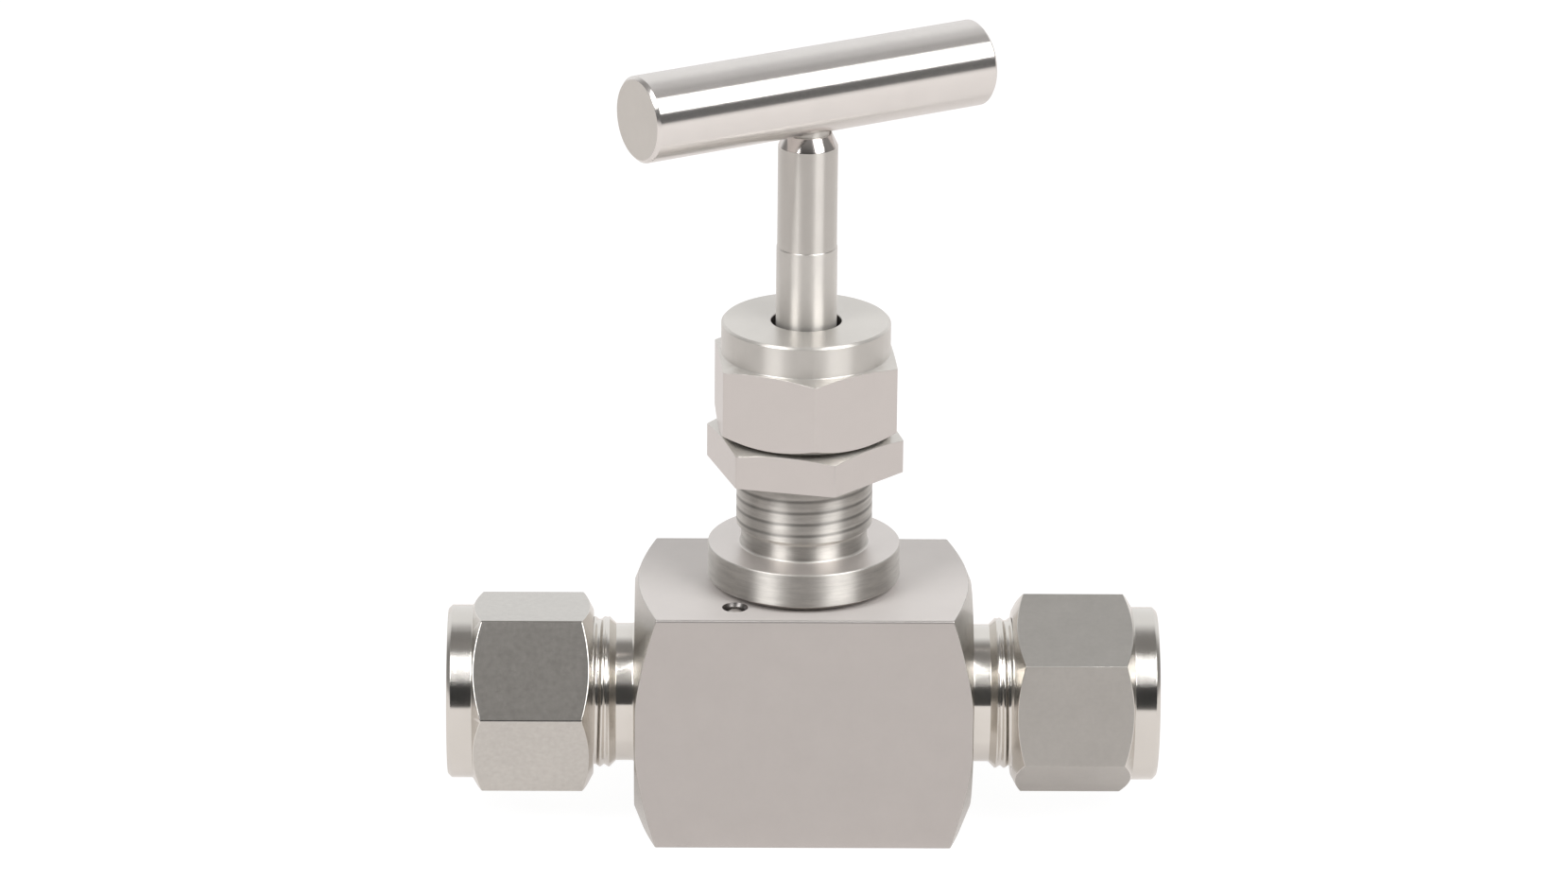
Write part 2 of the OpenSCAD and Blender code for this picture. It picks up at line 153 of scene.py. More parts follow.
@dataclass(frozen=True)
class Section:
    """Closed outline round an axis, from which a piece is cut: one point for each column of its mesh."""

    points: np.ndarray

    @property
    def reach(self) -> np.ndarray:
        """Distance of each point from the axis."""
        return np.hypot(self.points[:, 0], self.points[:, 1])

    @property
    def rays(self) -> np.ndarray:
        """Unit direction of each point from the axis."""
        return self.points / self.reach[:, None]

    @property
    def angles(self) -> np.ndarray:
        """Angle of each point round the axis, in radians."""
        return np.arctan2(self.points[:, 1], self.points[:, 0])

    @classmethod
    def round(cls, columns: int) -> "Section":
        """Unit circle: (cos t, sin t) for evenly spaced t.

        Args:
            columns: Number of points.

        Returns:
            The section.
        """
        t = np.linspace(0, 2 * math.pi, columns, endpoint=False)
        return cls(np.stack([np.cos(t), np.sin(t)], 1))

    @classmethod
    def polygon(cls, corners: np.ndarray, corner_r: float, flat_cols: int, arc_cols: int = 5) -> "Section":
        """Polygon whose corners are arcs that touch both sides, t = r / tan(angle / 2) away from the corner.

        Args:
            corners: Corner points, anticlockwise.
            corner_r: Radius of the corner arcs.
            flat_cols: Columns on each flat.
            arc_cols: Columns on each arc.

        Returns:
            The section.
        """
        back, ahead = np.roll(corners, 1, 0) - corners, np.roll(corners, -1, 0) - corners
        back, ahead = back / length(back), ahead / length(ahead)
        half = np.arccos(np.clip((back * ahead).sum(1), -1, 1)) / 2
        inwards = back + ahead
        centre = corners + inwards / length(inwards) * (corner_r / np.sin(half))[:, None]
        t = (corner_r / np.tan(half))[:, None]
        arc = arcs(centre, corners + back * t - centre, corners + ahead * t - centre,
                   math.pi - 2 * half, arc_cols)
        s = np.linspace(0, 1, flat_cols + 2)[1:-1][None, :, None]
        flat = arc[:, -1:, :] * (1 - s) + np.roll(arc[:, :1, :], -1, 0) * s
        return cls(np.concatenate([arc, flat], 1).reshape(-1, 2))

    @classmethod
    def hexagon(cls, across_flats: float, turn: float, corner_r: float) -> "Section":
        """Regular hexagon: corners at turn + 60 k degrees, across_flats / sqrt(3) from the axis.

        Args:
            across_flats: Width between opposite flats.
            turn: Angle of one corner, in degrees.
            corner_r: Radius of its corners.

        Returns:
            The section.
        """
        t = np.radians(turn + 60 * np.arange(6))
        corners = np.stack([np.cos(t), np.sin(t)], 1) * across_flats / math.sqrt(3)
        return cls.polygon(corners, corner_r, flat_cols=19)


ARC_ROWS = 4
"""Rows in each eased corner."""

SIDE_SHARE = 0.48
"""Largest share of a side that an eased corner takes."""

STRAIGHT = 0.99999
"""Cosine past which a corner counts as straight or folded."""

HAIR, KEEN, CRISP, FINE, BROKEN, EASY, SOFT, ROUND = 0.03, 0.05, 0.08, 0.1, 0.12, 0.15, 0.2, 0.3
"""Radii with which edges are eased; 0 leaves one sharp."""


def eased(outline: list[tuple], columns: int) -> np.ndarray:
    """Rows along an outline whose corners are eased by arcs.

    At a corner B between A and C the arc touches both sides at t = r / tan(angle / 2) from B. The radius
    shrinks where t would pass its share of the shorter side.

    Args:
        outline: (distance along the axis, radius, easing radius), each a number or an array over the columns.
        columns: Number of columns.

    Returns:
        Array (columns, rows, 2) of distance along the axis and radius.
    """
    p = np.stack([np.stack([np.broadcast_to(np.asarray(v, float), (columns,)) for v in c[:2]], -1)
                  for c in outline], 1)
    rows = [p[:, :1]]
    for k in range(1, len(outline) - 1):
        r = outline[k][2]
        if not r:
            rows.append(p[:, k:k + 1])
            continue
        a, b, c = p[:, k - 1], p[:, k], p[:, k + 1]
        to_a, to_c = length(a - b), length(c - b)
        u, v = (a - b) / to_a, (c - b) / to_c
        half = np.arccos(np.clip((u * v).sum(1), -STRAIGHT, STRAIGHT)) / 2
        t = np.minimum(r / np.tan(half), SIDE_SHARE * np.minimum(to_a, to_c)[:, 0])
        inwards = u + v
        centre = b + inwards / length(inwards) * (t / np.cos(half))[:, None]
        rows.append(arcs(centre, b + u * t[:, None] - centre, b + v * t[:, None] - centre,
                         math.pi - 2 * half, ARC_ROWS))
    rows.append(p[:, -1:])
    return np.concatenate(rows, 1)


@dataclass(frozen=True)
class Screw:
    """Right-hand outside thread with 60 degree flanks, cut in a cylinder."""

    start: float
    end: float
    radius: float
    pitch: float
    depth_share: float = 0.6
    crest_share: float = 0.125
    root_share: float = 0.25
    rows_per_turn: int = 14

    def rows(self, section: Section) -> np.ndarray:
        """Rows of the thread from its start to its end.

        With phase p = fraction(distance / pitch - angle / 2 pi), the depth is depth_share of the pitch times
        a trapezoid of |2 p - 1|: nothing over the crest_share next to 1, all of it over the root_share next
        to 0. It fades out within half a pitch of either end.

        Args:
            section: The columns.

        Returns:
            Array (columns, rows, 2) of distance along the axis and radius.
        """
        count = max(2, round(abs(self.end - self.start) / self.pitch * self.rows_per_turn))
        a = np.linspace(self.start, self.end, count)[None, :]
        phase = np.mod(a / self.pitch - section.angles[:, None] / (2 * math.pi), 1)
        flank = 1 - self.crest_share - self.root_share
        cut_in = np.clip((1 - self.crest_share - np.abs(2 * phase - 1)) / flank, 0, 1)
        fade = np.clip(np.minimum(a - self.start, self.end - a) / (0.5 * self.pitch), 0, 1)
        r = self.radius - self.depth_share * self.pitch * cut_in * fade
        return np.stack([np.broadcast_to(a, r.shape), r], -1)


MERGE_DISTANCE = 2e-7
"""Points closer than this, in metres, become one."""

SHARP_ANGLE = math.radians(42)
"""Edges that bend more than this are shaded as hard ones."""


def tidy_mesh(mesh: bpy.types.Mesh) -> None:
    """Merges doubled points, drops faces without area and shades smoothly except at hard edges.

    Args:
        mesh: The mesh, which is changed in place.
    """
    bm = bmesh.new()
    bm.from_mesh(mesh)
    bmesh.ops.remove_doubles(bm, verts=bm.verts, dist=MERGE_DISTANCE)
    bmesh.ops.dissolve_degenerate(bm, dist=MERGE_DISTANCE / 2, edges=bm.edges)
    bm.to_mesh(mesh)
    bm.free()
    mesh.shade_smooth()
    mesh.set_sharp_from_angle(angle=SHARP_ANGLE)


def face_slots(mesh: bpy.types.Mesh) -> np.ndarray:
    """Material slot of each face.

    Args:
        mesh: The mesh.

    Returns:
        Array of slot numbers.
    """
    slots = np.zeros(len(mesh.polygons), np.int32)
    mesh.polygons.foreach_get("material_index", slots)
    return slots


def mesh_object(name: str, points: np.ndarray, faces: np.ndarray,
                slots: np.ndarray | None = None) -> bpy.types.Object:
    """New mesh object at the origin.

    Args:
        name: Object name.
        points: Array (n, 3) in metres.
        faces: Array (m, 4) of quads.
        slots: Material slot of each face, or None for the first.

    Returns:
        The object, with doubled points merged and hard edges kept.
    """
    mesh = bpy.data.meshes.new(name)
    mesh.from_pydata(points.tolist(), [], faces.tolist())
    if slots is not None and slots.any():
        mesh.polygons.foreach_set("material_index", slots)
    tidy_mesh(mesh)
    obj = bpy.data.objects.new(name, mesh)
    bpy.context.scene.collection.objects.link(obj)
    return obj


def turned(name: str, place: Place, section: Section, rows: np.ndarray, closed: bool = False,
           bands: tuple[tuple[int, int], ...] = ()) -> bpy.types.Object:
    """Surface of rows round an axis: point(i, j) = ray(j) * radius(i, j) + axis * distance(i, j).

    Args:
        name: Object name.
        place: Where the axis lies.
        section: The columns.
        rows: Array (columns, rows, 2) of distance along the axis and radius.
        closed: Whether the last row joins the first, as on a piece with a bore.
        bands: First and last row between which the faces take the second material, then the third.

    Returns:
        The object.
    """
    columns, count = rows.shape[:2]
    flat = section.rays[:, None, :] * rows[..., 1:2]
    points = np.concatenate([flat, rows[..., 0:1]], -1).transpose(1, 0, 2).reshape(-1, 3)
    i = np.arange(count if closed else count - 1)[:, None]
    j = np.arange(columns)[None, :]
    i1, j1 = (i + 1) % count, (j + 1) % columns
    corners = [i * columns + j, i * columns + j1, i1 * columns + j1, i1 * columns + j]
    faces = np.stack(corners, -1).reshape(-1, 4)
    slots = np.zeros(len(faces), int)
    for slot, (first, last) in enumerate(bands, 1):
        slots[first * columns:last * columns] = slot
    return mesh_object(name, place.put(points), faces, slots)


def cut(obj: bpy.types.Object, *tools: bpy.types.Object) -> None:
    """Takes the tools' volumes out of a piece for good, and removes the tools.

    Args:
        obj: The piece.
        tools: Closed objects that are cut away from it.
    """
    for tool in tools:
        modifier = obj.modifiers.new("cut", "BOOLEAN")
        modifier.operation = "DIFFERENCE"
        modifier.solver = "EXACT"
        modifier.object = tool
    bpy.context.view_layer.update()
    graph = bpy.context.evaluated_depsgraph_get()
    result = bpy.data.meshes.new_from_object(obj.evaluated_get(graph), depsgraph=graph)
    obj.modifiers.clear()
    old = obj.data
    obj.data = result
    result.name = obj.name
    bpy.data.meshes.remove(old)
    for tool in tools:
        data = tool.data
        bpy.data.objects.remove(tool)
        bpy.data.meshes.remove(data)
    tidy_mesh(result)


# Finishes


class Nodes:
    """Short way to place and join the shader nodes of a material or world, whose first nodes are dropped."""

    def __init__(self, owner: bpy.types.Material | bpy.types.World) -> None:
        """Empties the owner's node tree, in which the new nodes go."""
        owner.use_nodes = True
        self.tree = owner.node_tree
        self.tree.nodes.clear()

    def add(self, kind: str, inputs: dict | None = None, **settings: object) -> bpy.types.Node:
        """New node.

        Args:
            kind: Node type without the word ShaderNode.
            inputs: Socket name or number to a value or to an output socket.
            settings: Node properties.

        Returns:
            The node.
        """
        node = self.tree.nodes.new("ShaderNode" + kind)
        for key, value in settings.items():
            setattr(node, key, value)
        for key, value in (inputs or {}).items():
            if isinstance(value, Socket):
                self.tree.links.new(value, node.inputs[key])
            else:
                node.inputs[key].default_value = value
        return node

    def out(self, kind: str, inputs: dict | None = None, **settings: object) -> Socket:
        """First output of a new node, placed as add places it."""
        return self.add(kind, inputs, **settings).outputs[0]

    def math(self, operation: str, *values: object) -> Socket:
        """Output of a math node over numbers or sockets."""
        return self.out("Math", dict(enumerate(values)), operation=operation)

    def total(self, first: object, *others: object) -> object:
        """Sum of numbers and sockets."""
        return self.math("ADD", first, self.total(*others)) if others else first

    def noise(self, vector: Socket, scale: float, detail: float, roughness: float = 0.5) -> Socket:
        """Noise from 0 to 1 over a vector."""
        return self.out("TexNoise", {"Vector": vector, "Scale": scale, "Detail": detail,
                                     "Roughness": roughness})

    def swing(self, noise: Socket, amount: float) -> Socket:
        """Noise about zero: (noise - 1/2) * amount."""
        return self.math("MULTIPLY", self.math("SUBTRACT", noise, 0.5), amount)

    def step(self, value: Socket, low: float, high: float) -> Socket:
        """Smooth step from 0 at low to 1 at high; high may be the smaller one."""
        rising = low < high
        return self.out("MapRange", {0: value, 1: float(min(low, high)), 2: float(max(low, high)),
                                     3: float(not rising), 4: float(rising)}, interpolation_type="SMOOTHSTEP")

    def mix(self, factor: object, first: object, second: object) -> Socket:
        """Colour between two colours or sockets."""
        first, second = ((*c, 1.0) if isinstance(c, tuple) else c for c in (first, second))
        return self.add("Mix", {0: factor, 6: first, 7: second}, data_type="RGBA").outputs[2]

    def tinted(self, tint: Colour, factor: Socket) -> Socket:
        """A colour times a factor."""
        return self.out("VectorMath", {0: tint, "Scale": factor}, operation="SCALE")


CLOUD_SCALE, SPECK_SCALE, STREAK_SCALE = 0.22, 1.6, 0.6
"""Fineness of the slow noise, of the specks and of the bands on steel."""

STREAK_STRETCH = (0.35, 0.35, 3.0)
"""The bands are long across the axis and narrow along it."""

SPECK_ROUGH = 0.06
"""How much the specks move the roughness."""


@dataclass(frozen=True)
class Steel:
    """Bare stainless steel with the traces of how it was cut.

    Its colour is a level of brightness times a steel's colour. The lines come from noise over the local
    radius and height for turned work, over the two directions across the axis for drawn and milled work.
    They move the height by line_depth and the roughness by line_rough. A slow noise, cloud, and a finer one,
    mottle, make the colour patchy, and streak adds bands round the axis. Where helix_pitch is given, painted
    shade darkens the roots of a thread of that pitch, as lines above helix_from. On turned work, spread draws
    reflections out across the rings.
    """

    name: str
    slot: str
    colour: Colour
    level: float
    roughness: float
    grain: Grain = Grain.TURNED
    line_density: float = 3.0
    line_depth: float = 0.0002
    line_rough: float = 0.08
    cloud: float = 0.05
    spread: float = 1.0
    metal: float = 1.0
    mottle: float = 0.0
    streak: float = 0.0
    helix_pitch: float = 0.0
    helix_from: float = 0.0

    @property
    def tint(self) -> Colour:
        """The steel's colour at this finish's level of brightness."""
        return tuple(round(self.level * part, 4) for part in self.colour)

    def material(self, place: Place) -> bpy.types.Material:
        """The finish on a piece with its axis at a place.

        Args:
            place: Where the piece's own axis lies.

        Returns:
            The material.
        """
        material = bpy.data.materials.new(self.name)
        material.diffuse_color = (*self.tint, 1)
        material.metallic = 1
        material.roughness = self.roughness
        n = Nodes(material)
        local = self.local(n, place)
        x, y, z = n.add("SeparateXYZ", {0: local}).outputs
        lines = n.noise(self.weave(n, x, y, z), self.line_density, detail=3.0, roughness=0.7)
        clouds = n.noise(local, CLOUD_SCALE, detail=4.0, roughness=0.6)
        specks = n.noise(local, SPECK_SCALE, detail=2.0, roughness=0.6)
        factor = n.total(1.0, n.swing(clouds, 2.0 * self.cloud), n.swing(lines, 0.5 * self.cloud),
                         n.swing(specks, self.mottle))
        if self.streak:
            flat = n.out("Mapping", {"Vector": local, "Scale": STREAK_STRETCH})
            streaks = n.noise(flat, STREAK_SCALE, detail=4.0, roughness=0.65)
            factor = n.total(factor, n.swing(streaks, 2 * self.streak))
        # Painted shade: the colour darkens along the thread roots.
        if self.helix_pitch:
            factor = n.math("MULTIPLY", factor, self.roots(n, x, y, z))
        rough = n.total(self.roughness, n.swing(lines, self.line_rough), n.swing(specks, SPECK_ROUGH))
        bump = n.out("Bump", {"Height": lines, "Distance": self.line_depth * MM, "Strength": 1.0})
        inputs = {"Base Color": n.tinted(self.tint, factor), "Metallic": self.metal, "Roughness": rough,
                  "Normal": bump}
        if self.spread and self.grain is Grain.TURNED:
            inputs |= self.around(n, x, y, place)
        n.add("OutputMaterial", {0: n.out("BsdfPrincipled", inputs)})
        return material

    @staticmethod
    def local(n: Nodes, place: Place) -> Socket:
        """The object's coordinates in millimetres in the piece's own frame, through a Mapping node.

        Args:
            n: The material's nodes.
            place: Where the piece's own axis lies.

        Returns:
            The coordinates.
        """
        inverse = place.matrix.inverted()
        return n.out("Mapping", {"Vector": n.add("TexCoord").outputs["Object"],
                                 "Location": tuple(inverse.to_translation()),
                                 "Rotation": tuple(inverse.to_euler("XYZ")), "Scale": (1 / MM,) * 3})

    def weave(self, n: Nodes, x: Socket, y: Socket, z: Socket) -> Socket:
        """The coordinates over which the noise of the lines is taken.

        Args:
            n: The material's nodes.
            x: First coordinate across the piece's axis.
            y: Second coordinate across it.
            z: Coordinate along it.

        Returns:
            The coordinates.
        """
        if self.grain is Grain.TURNED:
            square = n.math("ADD", n.math("MULTIPLY", x, x), n.math("MULTIPLY", y, y))
            return n.out("CombineXYZ", {0: n.math("SQRT", square), 1: z})
        return n.out("CombineXYZ", {0: x, 1: y, 2: n.math("MULTIPLY", z, self.grain.value)})

    def roots(self, n: Nodes, x: Socket, y: Socket, z: Socket) -> Socket:
        """Painted shade along a thread's root lines: darker near the middle of fraction(z / pitch - angle / 2
        pi).

        Args:
            n: The material's nodes.
            x: First coordinate across the thread's axis.
            y: Second coordinate across it.
            z: Coordinate along it.

        Returns:
            The factor that darkens them.
        """
        darkest, half_width, core, run_in = 0.4, 0.45, 0.05, 0.3
        turn = n.math("MULTIPLY", n.math("ARCTAN2", y, x), -0.5 / math.pi)
        phase = n.math("FRACT", n.math("ADD", n.math("MULTIPLY", z, 1 / self.helix_pitch), turn))
        away = n.math("ABSOLUTE", n.math("SUBTRACT", n.math("MULTIPLY", phase, 2.0), 1.0))
        line = n.math("MULTIPLY", n.step(away, half_width, core),
                      n.step(z, self.helix_from, self.helix_from + run_in))
        return n.math("SUBTRACT", 1.0, n.math("MULTIPLY", line, darkest))

    def around(self, n: Nodes, x: Socket, y: Socket, place: Place) -> dict:
        """Spreads reflections across the rings of a turned surface, less so where it is square to the axis.

        The tangent is (-y, x, 0) in the piece's own frame, turned to the world.

        Args:
            n: The material's nodes.
            x: First coordinate across the piece's axis.
            y: Second coordinate across it.
            place: Where the axis lies.

        Returns:
            The shader's inputs for it.
        """
        loss_on_ends, quarter_turn = 0.7, 0.25
        axis = tuple(place.matrix.to_3x3() @ Vector((0, 0, 1)))
        square = n.add("VectorMath", {0: n.add("TexCoord").outputs["Normal"], 1: axis},
                       operation="DOT_PRODUCT").outputs["Value"]
        fade = n.math("MULTIPLY", n.math("ABSOLUTE", square), -loss_on_ends * self.spread)
        ring = n.out("CombineXYZ", {0: n.math("MULTIPLY", y, -1.0), 1: x})
        ring = n.out("Mapping", {"Vector": ring, "Rotation": tuple(place.matrix.to_euler("XYZ"))},
                     vector_type="VECTOR")
        ring = n.out("VectorTransform", {0: ring}, vector_type="VECTOR", convert_from="OBJECT",
                     convert_to="WORLD")
        return {"Anisotropic": n.math("ADD", self.spread, fade), "Anisotropic Rotation": quarter_turn,
                "Tangent": n.out("VectorMath", {0: ring}, operation="NORMALIZE")}


@dataclass(frozen=True)
class Plastic:
    """Matt plastic with a faint, cloudy surface."""

    name: str
    slot: str
    tint: Colour
    roughness: float = 0.55
    cloud: float = 0.08
    grain_scale: float = 700.0
    grain_depth: float = 0.00002

    def material(self, place: Place) -> bpy.types.Material:
        """The finish on a piece.

        Args:
            place: Where the piece's own axis lies; it makes no difference here.

        Returns:
            The material.
        """
        material = bpy.data.materials.new(self.name)
        material.diffuse_color = (*self.tint, 1)
        n = Nodes(material)
        noise = n.noise(n.add("TexCoord").outputs["Object"], self.grain_scale, detail=4.0)
        factor = n.math("ADD", 1 - self.cloud / 2, n.math("MULTIPLY", noise, self.cloud))
        bump = n.out("Bump", {"Height": noise, "Distance": self.grain_depth, "Strength": 0.5})
        shader = n.out("BsdfPrincipled", {"Base Color": n.tinted(self.tint, factor),
                                          "Roughness": self.roughness, "Normal": bump})
        n.add("OutputMaterial", {0: shader})
        return material


STEEL = (0.64, 0.606, 0.585)
"""Colour of the stainless steel; each piece's finish is a level of it."""

WARM, DULL, PALE = (0.637, 0.614, 0.580), (0.632, 0.610, 0.577), (0.637, 0.612, 0.592)
"""Its colour where it is turned, a little more yellow, on the dull nut and on the bar."""

GREY = (0.70, 0.70, 0.70)
"""Colour of the hardened ball."""

COARSE = {"line_density": 5.0, "line_depth": 0.0006}
"""Lines of plain turning and drilling, on hidden pieces and in holes."""

BODY_STEEL = Steel("milled_bar_stock", "body_steel", STEEL, 0.84, 0.40, Grain.MILLED, 4.0, line_rough=0.05,
                   cloud=0.04, mottle=0.04)
TOP_STEEL = Steel("milled_top", "body_steel", STEEL, 0.87, 0.50, Grain.MILLED, 4.0, line_rough=0.05,
                  cloud=0.04, metal=0.12)
BODY_TURNED_STEEL = Steel("turned_bar_stock", "body_steel", WARM, 1.15, 0.18)
# Painted shade: a darker copy of the turned finish, laid on the body's turned corners.
CORNER_SHADE_STEEL = Steel("turned_corner_painted_shade", "body_steel", WARM, 0.78, 0.24, spread=0.5)
# Painted shade: the lock pin's hole is coloured dark to stand for the shade inside it.
HOLE_SHADE_STEEL = Steel("painted_shade_hole", "body_steel", STEEL, 0.28, 0.32, spread=0.0, **COARSE)
BONNET_STEEL = Steel("turned_bonnet", "bonnet_steel", WARM, 0.93, 0.48, mottle=0.1, streak=0.35,
                     helix_pitch=1.5, helix_from=38.6)
FLANGE_TOP_STEEL = Steel("faced_flange", "bonnet_steel", STEEL, 1.05, 0.36, metal=0.8)
# Painted light: a lighter copy of the bonnet steel on the flange's undercut bevel, which lies in shade; its
# low roughness also gives a real reflection of the body top.
FLANGE_FOOT_LIT_STEEL = Steel("flange_foot_painted_light", "bonnet_steel", STEEL, 1.2, 0.24, line_depth=0.0, spread=0.0)
NUT_STEEL = Steel("drawn_hexagon", "nut_steel", STEEL, 0.95, 0.30, Grain.DRAWN, line_rough=0.04, cloud=0.03)
NUT_TURNED_STEEL = Steel("turned_nut", "nut_steel", WARM, 0.98, 0.33, metal=0.7)
FACED_STEEL = Steel("faced_nut", "nut_steel", WARM, 1.06, 0.33, metal=0.85)
# Painted shade: a dark copy of the nut steel in the nuts' bores, standing for the shade inside them.
BORE_SHADE_STEEL = Steel("painted_shade_bore", "nut_steel", STEEL, 0.30, 0.45, spread=0.5, **COARSE)
TUBE_NUT_STEEL = Steel("tube_nut_hexagon", "tube_nut_steel", WARM, 0.89, 0.22, Grain.DRAWN, line_depth=0.0,
                       line_rough=0.03, cloud=0.03, mottle=0.2)
TUBE_NUT_DULL_STEEL = Steel("dull_hexagon", "tube_nut_steel", DULL, 0.80, 0.46, Grain.DRAWN, line_depth=0.0,
                            line_rough=0.03, cloud=0.08, mottle=0.12)
TUBE_NUT_TURNED_STEEL = Steel("turned_tube_nut", "tube_nut_steel", WARM, 1.08, 0.23)
STEM_STEEL = Steel("turned_stem", "stem_steel", WARM, 1.06, 0.34, metal=0.65)
GRIP_STEEL = Steel("turned_grip", "stem_steel", WARM, 0.98, 0.31, metal=0.9)
CONE_STEEL = Steel("bright_cone", "stem_steel", STEEL, 1.12, 0.16, line_depth=0.0001, spread=0.5)
BAR_STEEL = Steel("smooth_bar", "bar_steel", PALE, 1.17, 0.24, metal=0.92)
BAR_END_STEEL = Steel("faced_bar_end", "bar_steel", WARM, 0.95, 0.34, spread=0.8)
BRIGHT_STEEL = Steel("bright_turned", "bright_steel", STEEL, 1.04, 0.3, spread=0.5, **COARSE)
PIN_STEEL = Steel("pin_head", "pin_steel", STEEL, 0.9, 0.36, Grain.DRAWN, line_depth=0.0, metal=0.8)
FERRULE_STEEL = Steel("turned_ferrule", "ferrule_steel", STEEL, 1.0, 0.3, spread=0.5, **COARSE)
BALL_STEEL = Steel("polished_ball", "ball_steel", GREY, 1.0, 0.08, Grain.DRAWN, cloud=0.01, **COARSE)
PACKING_PTFE = Plastic("packing_white", "packing_ptfe", (0.86, 0.85, 0.82))
GASKET_PTFE = Plastic("gasket_white", "gasket_ptfe", (0.84, 0.83, 0.80))

Finish = Steel | Plastic


def dress(obj: bpy.types.Object, place: Place, *finishes: Finish) -> None:
    """Gives a piece its materials, the main one first.

    Args:
        obj: The piece, whose faces have their slot numbers already.
        place: Where its own axis lies.
        finishes: Its finishes, in the order of its material slots.
    """
    faces = face_slots(obj.data)
    obj.data.materials.clear()
    for finish in finishes:
        obj.data.materials.append(finish.material(place))
    obj.data.polygons.foreach_set("material_index", np.minimum(faces, len(finishes) - 1))


def dress_node(node: str, finish: Finish, place: Place) -> None:
    """Gives a CAD node that keeps its own mesh its material.

    Args:
        node: The node.
        finish: Its finish.
        place: Where its own axis lies.
    """
    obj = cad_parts[node]
    material = finish.material(place)
    if obj.material_slots:
        for slot in obj.material_slots:
            slot.material = material
    else:
        obj.data.materials.append(material)
    LOG.info("%s keeps its CAD mesh, finish %s", node, finish.name)


def seat(obj: bpy.types.Object, node: str, body: str, place: Place, *finishes: Finish) -> None:
    """Finishes a new piece that stands for a CAD node.

    Args:
        obj: The piece.
        node: The node that it replaces.
        body: The body that it rides on.
        place: Where its own axis lies.
        finishes: Its finishes, in the order of its material slots.
    """
    level = obj.modifiers.new("flat faces stay flat", "WEIGHTED_NORMAL")
    level.mode = "FACE_AREA"
    level.weight = 100
    level.keep_sharp = True
    dress(obj, place, *finishes)
    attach(obj, body)
    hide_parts(node)
    LOG.info("%s stands for %s on %s: %d faces", obj.name, node, body, len(obj.data.polygons))


# Pieces

OVERRUN = 1.0
"""How far a cutting tool runs past the metal that it takes away."""

WIDE_COLUMNS, SLIM_COLUMNS, DRILL_COLUMNS = 144, 96, 64
"""Columns round a wide piece, round a slim one or a bore, and round a drilling."""


